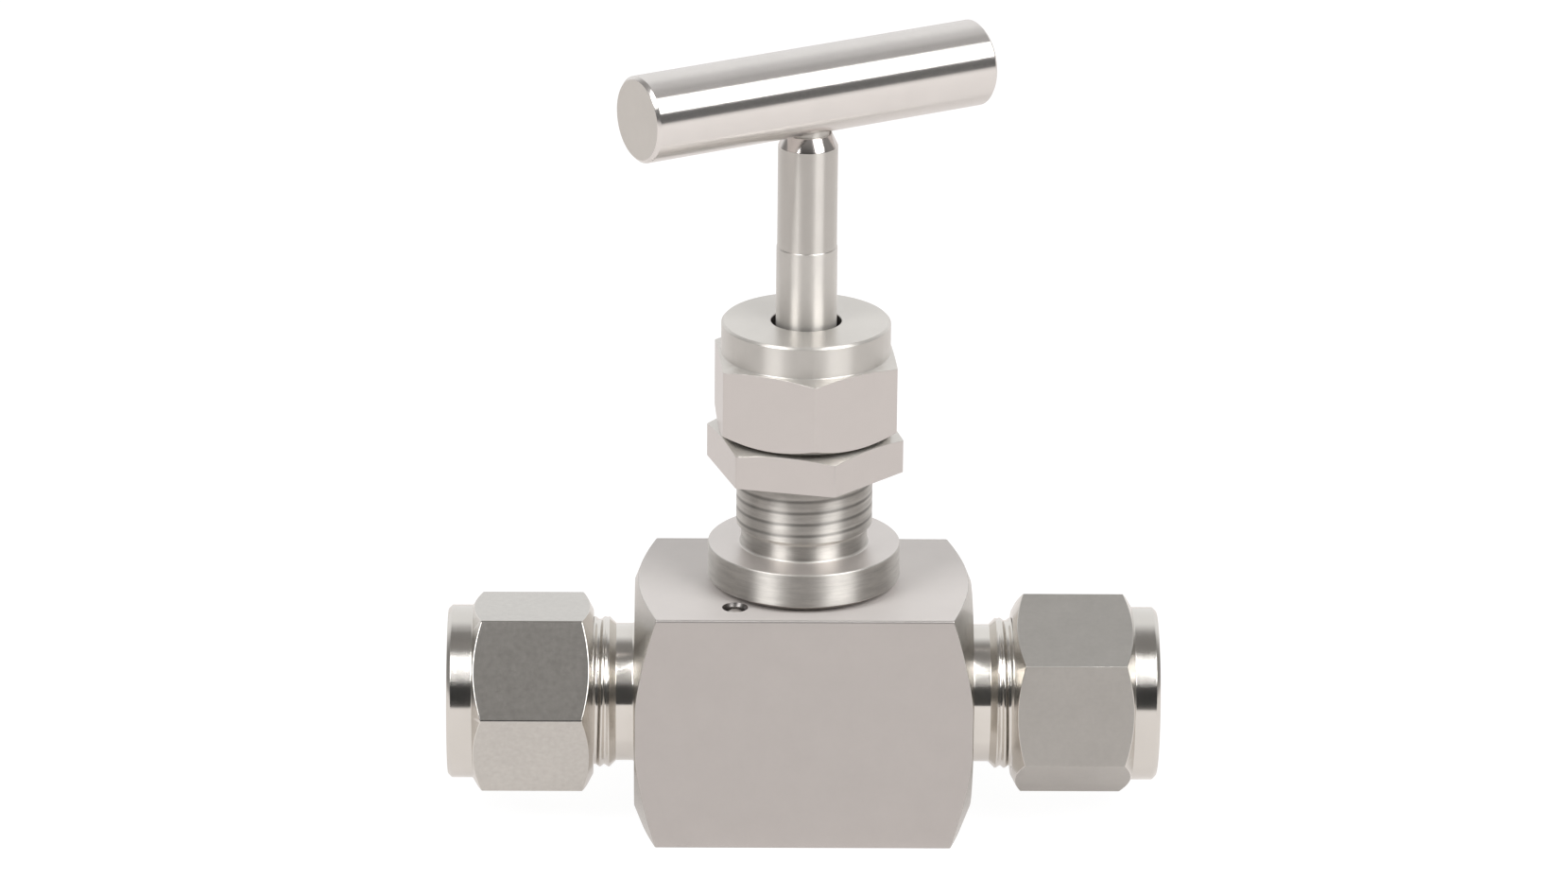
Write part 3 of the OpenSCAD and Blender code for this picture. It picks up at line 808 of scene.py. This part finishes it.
@dataclass
class ValveBody:
    """Bar stock body: four flats, both ends turned down to a round face, a threaded neck at each end."""

    length: float = 42.0
    width: float = 28.2
    height: float = 30.5
    end_r: float = 14.2
    end_angle: float = 22.5
    corner_land: float = 0.3
    crest_easing: float = 0.18
    edge_r: float = 0.35
    neck_end: float = 37.0
    relief_r: float = 8.6
    relief_l: float = 2.3
    thread_r: float = 9.425
    thread_pitch: float = 1.27
    thread_share: float = 0.25
    socket_r: float = 6.4
    socket_floor: float = 21.5
    mouth_r: float = 7.633
    mouth_l: float = 5.8
    orifice_r: float = 3.2
    drill_run_in: float = 1.5
    outlet_drop: float = 0.15
    seat_z: float = 12.0
    seat_h: float = 1.9
    seat_top_r: float = 4.297
    orifice_floor: float = 3.9
    chamber_r: float = 6.5
    ledge_z: float = 20.6
    bonnet_r: float = 9.05
    pin_r: float = 1.22
    pin_mouth_r: float = 1.6
    pin_depth: float = 5.3
    pin_off: float = 12.95
    pin_turn: float = 228.5

    @property
    def flow_z(self) -> float:
        """Height of the flow axis."""
        return self.height / 2

    @property
    def pin_spot(self) -> tuple[float, float]:
        """Where the lock pin's hole stands on the body's top."""
        turn = math.radians(self.pin_turn)
        return self.pin_off * math.cos(turn), self.pin_off * math.sin(turn)

    def build(self) -> None:
        """Builds and dresses the body."""
        place = Place.flow(Side.RIGHT, self.flow_z)
        h, w = self.height / 2, self.width / 2
        corners = np.array([[-h, -w], [h, -w], [h, w], [-h, w]])
        section = Section.polygon(corners, self.edge_r, flat_cols=41)
        rows = self.rows(section)
        middle = rows.shape[1] // 2
        obj = turned("bar_stock_body", place, section, rows, bands=((middle - 2, middle + 2),))
        cut(obj, *self.tools())
        self.mark_faces(obj.data)
        seat(obj, "valve_body", "root", place, BODY_TURNED_STEEL, BODY_STEEL, HOLE_SHADE_STEEL, TOP_STEEL,
             CORNER_SHADE_STEEL)

    def rows(self, section: Section) -> np.ndarray:
        """Rows from the left socket's floor over the outside to the right socket's floor.

        The turned corners run from the end's face at face_r, where distance = end, up to the flats, where
        distance = end - (reach - face_r) tan(end_angle). face_r is end_r, or less where that would leave less
        than corner_land below the flats.

        Args:
            section: The body's outline.

        Returns:
            Array (columns, rows, 2).
        """
        reach = section.reach
        columns = len(reach)
        end = self.length / 2
        face_r = np.minimum(reach - self.corner_land, self.end_r)
        crest = end - (reach - face_r) * math.tan(math.radians(self.end_angle))
        step = self.thread_r - self.relief_r
        screw = Screw(end + self.relief_l + step, self.neck_end - step, self.thread_r, self.thread_pitch,
                      self.thread_share)
        corner = eased([(0.0, reach, 0), (crest, reach, self.crest_easing), (end, face_r, BROKEN),
                        (end, self.relief_r, ROUND), (end + self.relief_l, self.relief_r, EASY),
                        (screw.start, self.thread_r, 0)], columns)[:, :-1]
        tip = eased([(screw.end, self.thread_r, 0), (self.neck_end, self.relief_r, FINE),
                     (self.neck_end, self.mouth_r, KEEN), (self.neck_end - self.mouth_l, self.socket_r, 0),
                     (self.socket_floor, self.socket_r, FINE), (self.socket_floor, 0, 0)], columns)[:, 1:]
        right = np.concatenate([corner, screw.rows(section), tip], 1)
        left = right[:, ::-1].copy()
        left[..., 0] *= -1
        return np.concatenate([left[:, :-1], right], 1)

    def mark_faces(self, mesh: bpy.types.Mesh) -> None:
        """Gives the lock pin's hole and the turned corners darker finishes of painted shade, and the top its
        own material, by face centres.

        Args:
            mesh: The finished mesh of the body.
        """
        centres = np.zeros(3 * len(mesh.polygons), np.float32)
        mesh.polygons.foreach_get("center", centres)
        x, y, z = (centres.reshape(-1, 3) / MM).T
        slots = face_slots(mesh)
        skin, floor_room, corner_room = 0.02, 0.1, 0.5
        top, pin_floor = self.height - skin, self.height - self.pin_depth - floor_room
        pin_x, pin_y = self.pin_spot
        # Painted shade: the lock pin's hole takes the dark finish.
        slots[(np.hypot(x - pin_x, y - pin_y) < self.pin_mouth_r) & (z < top) & (z > pin_floor)] = 2
        slots[(slots == 1) & (z > top)] = 3
        # Painted shade: the turned corners take a darker copy of the turned finish.
        slots[(slots == 0) & (np.abs(x) < self.length / 2 - skin)
              & (np.hypot(y, z - self.flow_z) > self.end_r - corner_room)] = 4
        mesh.polygons.foreach_set("material_index", slots)

    def tools(self) -> list[bpy.types.Object]:
        """What is bored out of the body.

        Returns:
            The bonnet's bore with seat and chamber, the lock pin's hole and the two flow drillings.
        """
        circle = Section.round(SLIM_COLUMNS)
        above = self.height + OVERRUN
        seat_top, pin_floor = self.seat_z + self.seat_h, self.height - self.pin_depth
        bore = eased([(self.orifice_floor, 0, 0), (self.orifice_floor, self.orifice_r, 0),
                      (self.seat_z, self.orifice_r, 0), (seat_top, self.seat_top_r, 0),
                      (seat_top, self.chamber_r, 0), (self.ledge_z, self.chamber_r, 0),
                      (self.ledge_z, self.bonnet_r, 0), (above, self.bonnet_r, 0), (above, 0, 0)],
                     SLIM_COLUMNS)
        pin = eased([(pin_floor, 0, 0), (pin_floor, self.pin_r, 0),
                     (self.height - self.pin_mouth_r + self.pin_r, self.pin_r, KEEN),
                     (self.height, self.pin_mouth_r, 0), (above, self.pin_mouth_r, 0), (above, 0, 0)],
                    SLIM_COLUMNS)
        run_in = self.socket_floor + self.drill_run_in
        inlet_z = self.orifice_floor + self.orifice_r
        outlet_z = self.ledge_z - self.orifice_r - self.outlet_drop
        return [turned("bonnet_bore", Place.upright(), circle, bore),
                turned("pin_hole", Place(Matrix.Translation((*self.pin_spot, 0))), circle, pin),
                self.drilling((-run_in, self.flow_z), (0.0, inlet_z)),
                self.drilling((run_in, self.flow_z), (self.chamber_r - OVERRUN, outlet_z))]

    def drilling(self, start: tuple[float, float], end: tuple[float, float]) -> bpy.types.Object:
        """Round tool between two points of the plane through stem and ports.

        Args:
            start: Distance along the flow axis and height of its first end.
            end: The same of its last end.

        Returns:
            The tool.
        """
        dx, dz = end[0] - start[0], end[1] - start[1]
        turn = Matrix.Rotation(math.atan2(dx, dz), 4, "Y")
        place = Place(Matrix.Translation((start[0], 0, start[1])) @ turn)
        run = math.hypot(dx, dz)
        rows = eased([(0, 0, 0), (0, self.orifice_r, 0), (run, self.orifice_r, 0), (run, 0, 0)],
                     DRILL_COLUMNS)
        return turned("drilling", place, Section.round(DRILL_COLUMNS), rows)


@dataclass
class Bonnet:
    """Screwed bonnet: thread into the body, flange, threaded neck with the packing chamber in its top."""

    foot_z: float = 21.4
    foot_r: float = 9.0
    foot_thread_gap: float = 0.9
    body_top: float = 30.5
    flange_r: float = 11.95
    flange_top: float = 35.65
    flange_bevel: float = 0.9
    flange_undercut: float = 1.35
    flange_easing: float = 0.22
    relief_r: float = 7.85
    relief_h: float = 2.8
    relief_fillet: float = 0.35
    neck_r: float = 8.45
    neck_top: float = 59.0
    neck_thread_share: float = 0.02
    pitch: float = 1.5
    chamber_r: float = 6.0
    chamber_z: float = 49.0
    backseat_z: float = 47.5
    throat_r: float = 3.85
    stem_bore_r: float = 5.05
    stem_bore_z: float = 30.0
    bevel: float = 0.6

    def build(self) -> None:
        """Builds and dresses the bonnet."""
        section = Section.round(WIDE_COLUMNS)
        thread_z = self.flange_top + self.relief_h
        step = self.neck_r - self.relief_r
        lower = Screw(self.foot_z + self.bevel, self.body_top - self.foot_thread_gap, self.foot_r, self.pitch)
        upper = Screw(thread_z, self.neck_top - self.bevel, self.neck_r, self.pitch, self.neck_thread_share)
        seam = (self.stem_bore_z, self.stem_bore_r, 0)
        foot = eased([seam, (self.foot_z, self.stem_bore_r, FINE),
                      (self.foot_z, self.foot_r - self.bevel, KEEN), (lower.start, self.foot_r, 0)],
                     WIDE_COLUMNS)[:, :-1]
        flange = eased([(lower.end, self.foot_r, 0), (self.body_top, self.foot_r, 0),
                        (self.body_top, self.flange_r - self.flange_undercut, CRISP),
                        (self.body_top + self.flange_bevel, self.flange_r, EASY),
                        (self.flange_top, self.flange_r, self.flange_easing),
                        (self.flange_top, self.relief_r, self.relief_fillet),
                        (thread_z - step, self.relief_r, SOFT), (thread_z, self.neck_r, 0)],
                       WIDE_COLUMNS)[:, 1:-1]
        top = eased([(upper.end, self.neck_r, 0), (self.neck_top, self.neck_r - self.bevel, FINE),
                     (self.neck_top, self.chamber_r, EASY), (self.chamber_z, self.chamber_r, FINE),
                     (self.chamber_z, self.throat_r, FINE), (self.backseat_z, self.throat_r, FINE),
                     (self.backseat_z, self.stem_bore_r, FINE), seam], WIDE_COLUMNS)[:, 1:-1]
        low_screw = lower.rows(section)
        rows = np.concatenate([foot, low_screw, flange, upper.rows(section), top], 1)
        rim = foot.shape[1] + low_screw.shape[1] + 3 * ARC_ROWS
        # The second band lays painted light, a lighter bonnet finish, on the shaded undercut bevel.
        obj = turned("screwed_bonnet", Place.upright(), section, rows, closed=True,
                     bands=((rim - 1, rim + 2), (rim - 3 * ARC_ROWS, rim - 2 * ARC_ROWS + 1)))
        seat(obj, "bonnet", "root", Place.upright(), BONNET_STEEL, FLANGE_TOP_STEEL, FLANGE_FOOT_LIT_STEEL)


@dataclass
class HexNut:
    """Hexagonal nut with an optional round collar, in heights along its own axis.

    The bore is an outline from the top inwards, whose last corner joins the nut's lower face.
    """

    node: str
    flat_finish: Steel
    turned_finish: Steel
    place: Place
    across_flats: float
    turn: float
    low: float
    shoulder: float
    high: float
    bore: list[tuple]
    low_r: float
    low_angle: float
    high_r: float
    high_angle: float
    collar_r: float = 0.0
    collar_bevel: float = 0.3
    crest_easing: float = 0.04
    end_easing: float = BROKEN
    corner_easing: float = 0.45

    def build(self) -> None:
        """Builds and dresses the nut.

        The turned ends meet the flats at (reach - face radius) tan(angle) from the end's face.
        """
        section = Section.hexagon(self.across_flats, self.turn, self.corner_easing)
        reach = section.reach
        low_rise = np.maximum(reach - self.low_r, 0) * math.tan(math.radians(self.low_angle))
        high_rise = np.maximum(reach - self.high_r, 0) * math.tan(math.radians(self.high_angle))
        outline = [self.bore[-1], (self.low, self.bore[-1][1], BROKEN),
                   (self.low, np.minimum(reach, self.low_r), self.end_easing),
                   (self.low + low_rise, reach, self.crest_easing),
                   (self.shoulder - high_rise, reach, self.crest_easing)]
        if self.collar_r:
            outline += [(self.shoulder, self.collar_r, SOFT),
                        (self.high - self.collar_bevel, self.collar_r, BROKEN),
                        (self.high, self.collar_r - self.collar_bevel, BROKEN)]
        else:
            outline += [(self.shoulder, np.minimum(reach, self.high_r), BROKEN)]
        rows = eased(outline + self.bore, len(reach))[:, :-1]
        crest_row = 1 + 3 * ARC_ROWS
        bore_row = rows.shape[1] - sum(ARC_ROWS if corner[2] else 1 for corner in self.bore[1:])
        obj = turned(self.node + "_hexagon", self.place, section, rows, closed=True,
                     bands=((crest_row - 2, crest_row + 1), (bore_row, rows.shape[1]),
                            (bore_row - ARC_ROWS - 1, bore_row - ARC_ROWS)))
        # The bore takes painted shade, a dark copy of the nut steel.
        seat(obj, self.node, self.node, self.place, self.turned_finish, self.flat_finish, BORE_SHADE_STEEL,
             FACED_STEEL)


@dataclass
class NeckNuts:
    """Packing nut and panel lock nut on the bonnet's neck; a turn of 0 has a corner towards the front."""

    neck_r: float = 8.5
    lock_z: float = 45.9
    lock_top: float = 50.5
    lock_af: float = 21.65
    lock_turn: float = 16.4
    lock_step: float = 0.2
    lock_angle: float = 15.0
    lock_seam: float = 2.0
    packing_z: float = 50.95
    packing_shoulder: float = 60.7
    packing_top: float = 64.75
    packing_af: float = 21.5
    packing_turn: float = 4.5
    packing_seam: float = 3.0
    foot_step: float = 0.1
    foot_angle: float = 30.0
    roof_z: float = 61.75
    stem_hole_r: float = 4.35
    top_r: float = 10.45
    top_angle: float = 14.0

    def build(self) -> None:
        """Builds and dresses both nuts."""
        front = 90
        up = Place.upright()
        HexNut("lock_nut", NUT_STEEL, NUT_TURNED_STEEL, up, self.lock_af, self.lock_turn - front, self.lock_z,
               self.lock_top, self.lock_top,
               [(self.lock_top, self.neck_r, ROUND), (self.lock_z + self.lock_seam, self.neck_r, 0)],
               low_r=self.lock_af, low_angle=0.0, high_r=self.lock_af / 2 - self.lock_step,
               high_angle=self.lock_angle).build()
        HexNut("packing_nut", NUT_STEEL, NUT_TURNED_STEEL, up, self.packing_af, self.packing_turn - front,
               self.packing_z, self.packing_shoulder, self.packing_top,
               [(self.packing_top, self.stem_hole_r, EASY), (self.roof_z, self.stem_hole_r, FINE),
                (self.roof_z, self.neck_r, SOFT), (self.packing_z + self.packing_seam, self.neck_r, 0)],
               low_r=self.packing_af / 2 - self.foot_step, low_angle=self.foot_angle, high_r=self.top_r,
               high_angle=self.top_angle, collar_r=self.top_r).build()


@dataclass
class TubeEnd:
    """Compression fitting of one end: nut and two ferrules."""

    side: Side
    turn: float
    flat_finish: Steel
    corner_easing: float
    flow_z: float = 15.25
    across_flats: float = 22.225
    inner: float = 26.15
    shoulder: float = 41.2
    outer: float = 44.3
    collar_r: float = 10.825
    collar_bevel: float = 0.5
    face_r: float = 10.3
    face_angle: float = 28.0
    collar_angle: float = 31.0
    thread_r: float = 9.475
    thread_end: float = 37.02
    room_r: float = 7.913
    room_end: float = 41.0
    seam: float = 4.0
    tube_r: float = 6.4
    mouth_easing: float = 0.25
    face_easing: float = 0.35

    def build(self) -> None:
        """Builds the nut and dresses the ferrules."""
        place = Place.flow(self.side, self.flow_z)
        bore = [(self.outer, self.tube_r, self.mouth_easing), (self.room_end, self.tube_r, KEEN),
                (self.room_end, self.room_r, FINE),
                (self.thread_end + self.thread_r - self.room_r, self.room_r, 0),
                (self.thread_end, self.thread_r, 0), (self.inner + self.seam, self.thread_r, 0)]
        HexNut(f"tube_nut_{self.side.word}", self.flat_finish, TUBE_NUT_TURNED_STEEL, place,
               self.across_flats, self.side.value * self.turn, self.inner, self.shoulder, self.outer, bore,
               low_r=self.face_r, low_angle=self.face_angle, high_r=self.collar_r,
               high_angle=self.collar_angle, collar_r=self.collar_r, collar_bevel=self.collar_bevel,
               crest_easing=SOFT, end_easing=self.face_easing, corner_easing=self.corner_easing).build()
        for kind in ("front", "back"):
            dress_node(f"{kind}_ferrule_{self.side.word}", FERRULE_STEEL, place)


@dataclass
class StemAndBar:
    """Stem with its thread, polished length, grip length and cone, and the bar on top of it."""

    foot_z: float = 22.5
    lip_h: float = 1.1
    lip_r: float = 2.15
    socket_r: float = 2.65
    socket_roof: float = 30.29
    thread_r: float = 5.0
    pitch: float = 1.5
    shoulder_z: float = 40.1
    seal_r: float = 3.75
    grip_r: float = 3.67
    grip_step: float = 0.08
    polish_top: float = 74.35
    cone_z: float = 87.35
    bar_underside: float = 88.95
    top_r: float = 2.9
    spigot_r: float = 2.6
    spigot_l: float = 7.3
    spigot_play: float = 0.02
    joint_easing: float = 0.02
    bar_r: float = 5.325
    bar_l: float = 48.0
    bar_bevel: float = 0.4
    bar_turn: float = 30.0

    def build(self) -> None:
        """Builds and dresses stem, bar, needle and ball."""
        up = Place.upright()
        section = Section.round(SLIM_COLUMNS)
        lip_top, spigot_top = self.foot_z + self.lip_h, self.bar_underside + self.spigot_l
        screw = Screw(lip_top, self.shoulder_z, self.thread_r, self.pitch)
        foot = eased([(self.socket_roof, 0, 0), (self.socket_roof, self.socket_r, FINE),
                      (lip_top, self.socket_r, KEEN), (lip_top, self.lip_r, KEEN),
                      (self.foot_z, self.lip_r, FINE), (self.foot_z, self.thread_r - self.lip_h, FINE),
                      (screw.start, self.thread_r, 0)], SLIM_COLUMNS)[:, :-1]
        rod = eased([(screw.end, self.thread_r, 0),
                     (self.shoulder_z + self.thread_r - self.seal_r, self.seal_r, SOFT),
                     (self.polish_top, self.seal_r, HAIR),
                     (self.polish_top + self.grip_step, self.grip_r, HAIR),
                     (self.cone_z, self.grip_r, SOFT), (self.bar_underside, self.top_r, KEEN),
                     (self.bar_underside, self.spigot_r, self.joint_easing),
                     (spigot_top, self.spigot_r, FINE), (spigot_top, 0, 0)], SLIM_COLUMNS)[:, 1:]
        thread = screw.rows(section)
        rows = np.concatenate([foot, thread, rod], 1)
        grip = foot.shape[1] + thread.shape[1] + 2 * ARC_ROWS - 2
        cone = grip + 2 * ARC_ROWS - 1
        stem = turned("turned_stem", up, section, rows, bands=((grip, cone), (cone, cone + ARC_ROWS + 1)))
        seat(stem, "stem", "stem", up, STEM_STEEL, GRIP_STEEL, CONE_STEEL)
        self.build_bar()
        dress_node("needle_tip", BRIGHT_STEEL, up)
        dress_node("thrust_ball", BALL_STEEL, up)

    def build_bar(self) -> None:
        """Builds the bar with its blind hole for the spigot."""
        place = Place.across(self.bar_underside + self.bar_r, self.bar_turn)
        half, end_r = self.bar_l / 2, self.bar_r - self.bar_bevel
        rows = eased([(-half, 0, 0), (-half, end_r, CRISP), (self.bar_bevel - half, self.bar_r, BROKEN),
                      (half - self.bar_bevel, self.bar_r, BROKEN), (half, end_r, CRISP), (half, 0, 0)],
                     WIDE_COLUMNS)
        last = rows.shape[1] - 1
        bar = turned("t_bar", place, Section.round(WIDE_COLUMNS), rows, bands=((0, 2), (last - 2, last)))
        bar.data.polygons.foreach_set("material_index", np.minimum(face_slots(bar.data), 1))
        below, hole_r = self.bar_underside - OVERRUN, self.spigot_r + self.spigot_play
        hole_top = self.bar_underside + self.spigot_l + self.spigot_play
        hole = eased([(below, 0, 0), (below, hole_r, 0), (hole_top, hole_r, 0), (hole_top, 0, 0)],
                     DRILL_COLUMNS)
        cut(bar, turned("spigot_hole", Place.upright(), Section.round(DRILL_COLUMNS), hole))
        seat(bar, "handle_bar", "stem", place, BAR_STEEL, BAR_END_STEEL)


class SmallParts:
    """Pieces that keep their CAD mesh: gasket, lock pin, packing set."""

    def build(self) -> None:
        """Dresses each of them."""
        up = Place.upright()
        dress_node("bonnet_gasket", GASKET_PTFE, up)
        dress_node("bonnet_lock_pin", PIN_STEEL, up)
        dress_node("packing_support_ring", BRIGHT_STEEL, up)
        for number in (1, 2, 3):
            dress_node(f"packing_ring_{number}", PACKING_PTFE, up)
        dress_node("gland_follower", BRIGHT_STEEL, up)


# Studio


def direction(azimuth: float, elevation: float) -> Vector:
    """Direction (sin a cos e, -cos a cos e, sin e) for an azimuth a from the front and an elevation e."""
    level = math.cos(elevation)
    return Vector((math.sin(azimuth) * level, -math.cos(azimuth) * level, math.sin(elevation)))


@dataclass
class Camera:
    """Camera at the photograph's viewing angle; the target point shows at a pixel (u, v) of its image.

    The clip distances are in metres.
    """

    elevation: float = 20.5
    azimuth: float = -0.93
    roll: float = 0.56
    distance: float = 900.0
    focal_px: float = 7640.0
    target_z: float = 30.0
    target_u: float = 850.0
    target_v: float = 616.3
    image: tuple[int, int] = (1659, 948)
    sensor: float = 36.0
    nearest: float = 0.01
    farthest: float = 50.0

    def build(self) -> None:
        """Places the camera and makes it the scene's."""
        e, a, r = (math.radians(v) for v in (self.elevation, self.azimuth, self.roll))
        back = direction(a, e)
        right = Vector((math.cos(a), math.sin(a), 0))
        up = back.cross(right)
        right_r = right * math.cos(r) + up * math.sin(r)
        up_r = -right * math.sin(r) + up * math.cos(r)
        shift_x = (self.target_u - self.image[0] / 2) / self.focal_px * self.distance
        shift_y = -(self.target_v - self.image[1] / 2) / self.focal_px * self.distance
        spot = Vector((0, 0, self.target_z)) + back * self.distance - right_r * shift_x - up_r * shift_y
        data = bpy.data.cameras.new("photo_camera")
        data.sensor_fit = "HORIZONTAL"
        data.sensor_width = self.sensor
        data.lens = self.focal_px * self.sensor / self.image[0]
        data.clip_start = self.nearest
        data.clip_end = self.farthest
        camera = bpy.data.objects.new("photo_camera", data)
        turn = Matrix((right_r, up_r, back)).transposed().to_4x4()
        camera.matrix_world = Matrix.Translation(spot * MM) @ turn
        bpy.context.scene.collection.objects.link(camera)
        bpy.context.scene.camera = camera


@dataclass(frozen=True)
class Softbox:
    """Large soft lamp, placed round the valve and pointed at it; angles in degrees, sizes in metres."""

    name: str
    azimuth: float
    elevation: float
    distance: float
    width: float
    height: float
    radiance: float

    def build(self, aim: Vector) -> None:
        """Places the lamp; its power is radiance * pi * area.

        Args:
            aim: The point that it looks at, in metres.
        """
        ray = direction(math.radians(self.azimuth), math.radians(self.elevation))
        data = bpy.data.lights.new(self.name, "AREA")
        data.shape = "RECTANGLE"
        data.size, data.size_y = self.width, self.height
        data.energy = self.radiance * math.pi * self.width * self.height
        lamp = bpy.data.objects.new(self.name, data)
        look = ray.to_track_quat("Z", "Y").to_matrix().to_4x4()
        lamp.matrix_world = Matrix.Translation(aim + ray * self.distance) @ look
        bpy.context.scene.collection.objects.link(lamp)


WHITE = (1.0, 1.0, 1.0)
"""What the camera sees behind the valve."""


@dataclass
class Studio:
    """Plain pale floor, white wall behind, dim room in front and at the sides, two softboxes.

    A pair of angles is a soft edge in degrees, from outside the field to inside it. The azimuth is 0 towards
    the camera.
    """

    aim_z: float = 0.045
    boxes: tuple[Softbox, ...] = (Softbox("left_softbox", -50, 44, 1.1, 0.44, 0.70, 7.5),
                                  Softbox("right_softbox", 50, 44, 1.1, 0.62, 0.70, 7.0))
    floor_reach: float = 6.0
    floor_colour: Colour = (0.60, 0.585, 0.575)
    floor_seen_share: float = 0.80
    floor_mirrored_share: float = 0.55
    floor_white: float = 1.18
    floor_mirrored: Colour = (1.0, 0.955, 0.935)
    room: Colour = (0.26, 0.252, 0.245)
    wall: Colour = (0.97, 0.97, 0.97)
    wall_azimuth: tuple[float, float] = (112, 140)
    wall_elevation: tuple[float, float] = (72, 48)
    dark: Colour = (0.05, 0.05, 0.05)
    dark_azimuth: tuple[float, float] = (88, 60)
    dark_elevation: tuple[float, float] = (42, 26)

    def build(self) -> None:
        """Builds floor, world and lamps."""
        self.build_floor()
        self.build_world()
        for box in self.boxes:
            box.build(Vector((0, 0, self.aim_z)))

    def build_floor(self) -> None:
        """Floor under the valve: white for the camera and in the metal, with a faint soft shadow."""
        r = self.floor_reach
        points = np.array([[-r, -r, 0], [r, -r, 0], [r, r, 0], [-r, r, 0]], float)
        floor = mesh_object("studio_floor", points, np.array([[0, 1, 2, 3]]))
        material = bpy.data.materials.new("studio_floor")
        n = Nodes(material)
        matt = n.out("BsdfDiffuse", {"Color": (*self.floor_colour, 1)})
        ray = n.add("LightPath").outputs
        colour = n.mix(ray["Is Camera Ray"], self.floor_mirrored, WHITE)
        white = n.out("Emission", {"Color": colour, "Strength": self.floor_white})
        share = n.total(n.math("MULTIPLY", ray["Is Camera Ray"], self.floor_seen_share),
                        n.math("MULTIPLY", ray["Is Glossy Ray"], self.floor_mirrored_share))
        n.add("OutputMaterial", {0: n.out("MixShader", {0: share, 1: matt, 2: white})})
        floor.data.materials.append(material)

    def build_world(self) -> None:
        """World: white for the camera; for all else the room, with the wall behind and the dark in front."""
        world = bpy.data.worlds.new("studio")
        bpy.context.scene.world = world
        n = Nodes(world)
        x, y, z = n.add("SeparateXYZ", {0: n.add("TexCoord").outputs["Generated"]}).outputs
        elevation = n.math("DEGREES", n.math("ARCSINE", z))
        azimuth = n.math("ABSOLUTE", n.math("DEGREES", n.math("ARCTAN2", x, n.math("MULTIPLY", y, -1.0))))
        behind = n.math("MULTIPLY", n.step(azimuth, *self.wall_azimuth),
                        n.step(elevation, *self.wall_elevation))
        ahead = n.math("MULTIPLY", n.step(azimuth, *self.dark_azimuth),
                       n.step(elevation, *self.dark_elevation))
        colour = n.mix(ahead, n.mix(behind, self.room, self.wall), self.dark)
        colour = n.mix(n.add("LightPath").outputs["Is Camera Ray"], colour, WHITE)
        n.add("OutputWorld", {0: n.out("Background", {"Color": colour, "Strength": 1.0})})


def main() -> None:
    """Builds the valve piece by piece, then the studio."""
    ValveBody().build()
    Bonnet().build()
    NeckNuts().build()
    TubeEnd(Side.LEFT, 25.0, TUBE_NUT_STEEL, corner_easing=0.45).build()
    TubeEnd(Side.RIGHT, -7.0, TUBE_NUT_DULL_STEEL, corner_easing=0.1).build()
    StemAndBar().build()
    SmallParts().build()
    Studio().build()
    Camera().build()
    bpy.context.scene.view_settings.view_transform = "Standard"
    bpy.context.view_layer.update()


if __name__ == "__main__":
    main()
